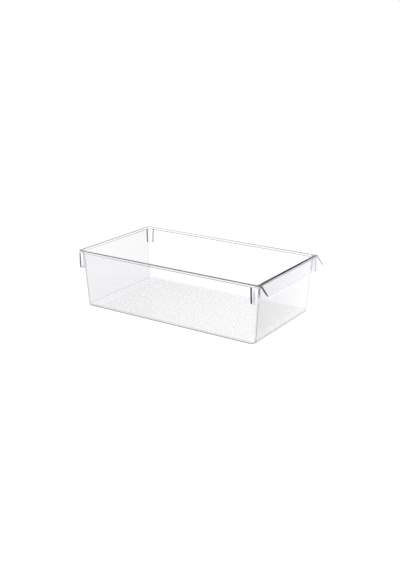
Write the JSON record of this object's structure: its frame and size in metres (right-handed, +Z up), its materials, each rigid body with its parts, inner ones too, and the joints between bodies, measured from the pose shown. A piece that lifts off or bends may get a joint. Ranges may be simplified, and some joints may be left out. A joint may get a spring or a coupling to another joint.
{
  "type": "fridge drawer organizer",
  "caption": "Clear open-topped storage bin with sloping walls, a raised rim band, corner skirts, a dotted floor and a flared pull lip across one short end.",
  "frame": {"origin": "centre of the tub's underside, on the surface that it stands on", "axes": "+Z up through the open top, +Y along the long sides towards the plain rear end, so the pull handle is at -Y, and +X to the right of someone who faces the handle"},
  "size_m": [0.201, 0.3656, 0.098],
  "materials": {
    "clear_plastic": "polished, colourless",
    "textured_plastic": "moulded dot texture, colourless"
  },
  "bodies": {
    "root": {"corner_lug_front_left": "clear_plastic", "corner_lug_front_right": "clear_plastic", "corner_lug_rear_left": "clear_plastic", "corner_lug_rear_right": "clear_plastic", "floor_texture_panel": "textured_plastic", "pull_handle": "clear_plastic", "rim_band": "clear_plastic", "tub_shell": "clear_plastic"}
  },
  "joints": []
}
